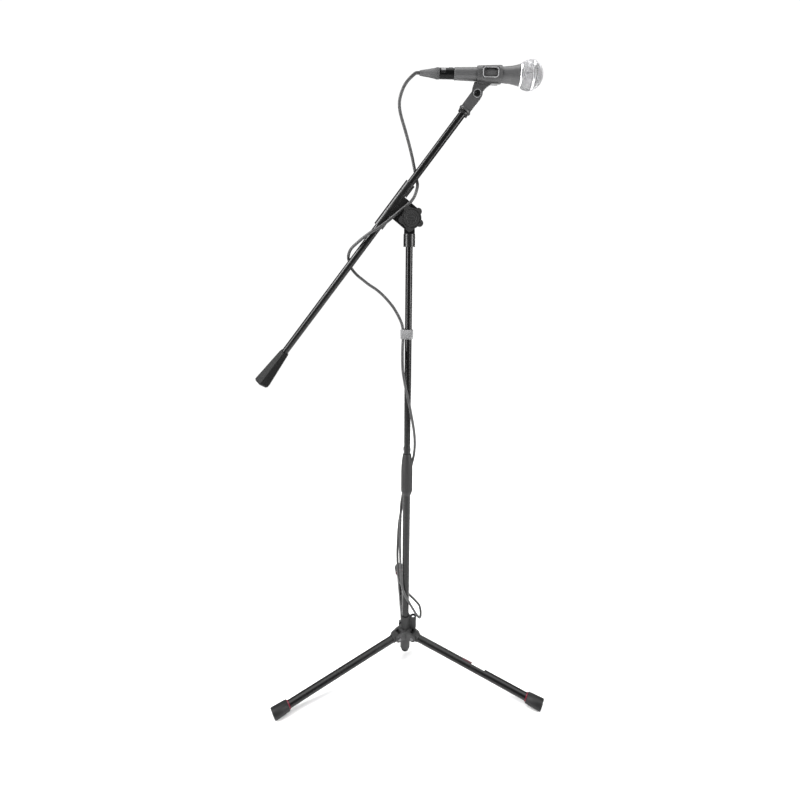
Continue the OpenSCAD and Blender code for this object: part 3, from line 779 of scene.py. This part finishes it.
def cut_line(line, start, end):
    """The stretch of a line between two shares of its length."""
    walked = [0.0]
    for a, b in zip(line, line[1:]):
        walked.append(walked[-1] + (b - a).length)

    def nearest(share):
        return min(range(len(line)), key=lambda k: abs(walked[k] - share * walked[-1]))

    return line[nearest(start):nearest(end) + 1]


def make_cable(material):
    """The lead in lengths that each ride on one body, or run from one body to the next."""
    lines = {route: spline(points, step) for route, (points, step, _) in ROUTES.items()}
    made = []
    for name, route, start, end, (a, b) in CHAIN:
        part = cut_line(lines[route], start, end)
        piece = tube(name, part, CABLE_D / 2)
        piece.data.materials.append(material)
        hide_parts(ROUTES[route][2])
        if a == b:
            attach(piece, a)
        else:
            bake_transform(piece)
        made.append((piece, part))
    return made


# ---- Stage ----

def make_stage():
    """White floor, a disc that fades into the white surroundings towards its rim."""
    turns = [2 * math.pi * k / 96 for k in range(96)]
    rim = [(FLOOR_R * math.cos(a), FLOOR_R * math.sin(a), 0) for a in turns]
    floor = link_mesh("floor", rim, [tuple(range(96))])
    s = Shader("floor_white", (0.9, 0.9, 0.9), 0.25, Specular_IOR_Level=0.3)
    s.vary_roughness(s.noise(3, 2), 0.2, 0.3)
    s.fade_out(FLOOR_R)
    floor.data.materials.append(s.material)


def make_world():
    """White to look at, and dimmer where it lights and reflects, so that black paint stays black."""
    world = bpy.data.worlds.new("studio")
    world.use_nodes = True
    tree = world.node_tree
    seen = tree.nodes["Background"]
    seen.inputs["Color"].default_value = (1, 1, 1, 1)
    seen.inputs["Strength"].default_value = 1.05
    lit = tree.nodes.new("ShaderNodeBackground")
    lit.inputs["Color"].default_value = (1, 1, 1, 1)
    lit.inputs["Strength"].default_value = 0.06
    mix = tree.nodes.new("ShaderNodeMixShader")
    path = tree.nodes.new("ShaderNodeLightPath")
    tree.links.new(path.outputs["Is Camera Ray"], mix.inputs[0])
    tree.links.new(lit.outputs[0], mix.inputs[1])
    tree.links.new(seen.outputs[0], mix.inputs[2])
    tree.links.new(mix.outputs[0], tree.nodes["World Output"].inputs["Surface"])
    bpy.context.scene.world = world


def add_light(light, at, target, power):
    """Puts a light in the scene, turned towards its target."""
    light.energy = power
    obj = bpy.data.objects.new(light.name, light)
    obj.location = at
    obj.rotation_euler = (Vector(target) - Vector(at)).to_track_quat("-Z", "Y").to_euler()
    bpy.context.scene.collection.objects.link(obj)


def add_panel(name, at, target, size, power):
    """A softbox of the given width and height."""
    light = bpy.data.lights.new(name, "AREA")
    light.shape = "RECTANGLE"
    light.size, light.size_y = size
    add_light(light, at, target, power)


def make_lights():
    """Soft light from above, two softboxes in front, one high up, and one behind."""
    middle = (0, 0, 0.8)
    sky = bpy.data.lights.new("sky", "SUN")
    sky.angle = math.radians(60)
    add_light(sky, (0, 0, 4), (0, 0, 0), 2.7)
    add_panel("softbox_left", (-1.65, -0.95, 1.25), middle, (0.8, 1.9), 56)
    add_panel("softbox_right", (1.7, -0.85, 1.25), middle, (0.8, 1.9), 60)
    add_panel("softbox_high", (-1.7, -0.55, 2.5), (0, 0, 1.1), (0.8, 1.3), 56)
    add_panel("softbox_back", (0.4, 2.4, 1.5), middle, (1.0, 2.0), 30)


def make_camera():
    """Camera at the photo's angle."""
    camera = bpy.data.objects.new("camera", bpy.data.cameras.new("camera"))
    bpy.context.scene.collection.objects.link(camera)
    camera.data.lens = CAMERA_LENS
    camera.data.sensor_width = 36
    camera.data.clip_start = 0.05
    camera.location = CAMERA_AT
    turn = Matrix.Rotation(CAMERA_TURN, 4, "Z")
    tilt = Matrix.Rotation(math.pi / 2 - CAMERA_PITCH, 4, "X")
    roll = Matrix.Rotation(CAMERA_ROLL, 4, "Z")
    camera.rotation_euler = (turn @ tilt @ roll).to_euler()
    bpy.context.scene.camera = camera


def paint(frame):
    """A material for every CAD node, by its slot in the record."""
    finishes = {
        "tube_black": tube_paint(),
        "cast_black": casting_paint(),
        "grey_plastic": moulded_plastic("grey_plastic", 0.008, 0.56),
        "black_plastic": moulded_plastic("black_plastic", 0.01, 0.34),
        "clip_plastic": moulded_plastic("clip_plastic", 0.045, 0.36),
        "rubber": rubber("rubber", 0.007),
        "red_plastic": crimson_plastic(),
        "label": leg_label(),
        "strap": strap_fabric(),
        "steel": metal("steel", grey(0.6), 0.3),
        "black_steel": metal("black_steel", grey(0.06), 0.32),
        "weight_black": weight_coat(),
        "brass": metal("brass", (0.75, 0.55, 0.25), 0.3),
        "mic_body": mic_enamel(),
        "chrome": metal("chrome", grey(0.8), 0.3),
        "mesh": grille_wire(),
        "foam": foam(),
        "cable": cable_jacket(),
    }
    for part in frame["record"]["subparts"]:
        node = frame["nodes"][part["node"]]
        node.data.materials.clear()
        node.data.materials.append(finishes[part["material_slot"]])
    dull = metal("dull_steel", grey(0.14), 0.4)
    special = (("leg_hub", hub_paint()), ("plug_shell", plug_body()), ("leg_pins", dull),
               ("plug_boot", rubber("boot_rubber", 0.06)))
    for name, finish in special:
        frame["nodes"][name].data.materials[0] = finish
    return finishes


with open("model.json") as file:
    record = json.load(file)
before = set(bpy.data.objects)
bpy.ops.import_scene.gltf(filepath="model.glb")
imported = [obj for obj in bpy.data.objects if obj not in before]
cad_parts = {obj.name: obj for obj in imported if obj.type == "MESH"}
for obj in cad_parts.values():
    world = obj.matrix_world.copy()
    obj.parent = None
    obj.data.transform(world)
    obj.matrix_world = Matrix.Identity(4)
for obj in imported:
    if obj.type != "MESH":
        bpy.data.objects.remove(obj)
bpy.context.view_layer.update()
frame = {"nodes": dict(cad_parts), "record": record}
finishes = paint(frame)
cable = make_cable(finishes["cable"])
make_feet(finishes["rubber"])
make_strap(finishes)
make_grille(finishes)
make_emblem(finishes)
make_painted_highlight_beads()
make_stage()
make_world()
make_lights()
make_camera()
bpy.context.scene.view_settings.view_transform = "Standard"
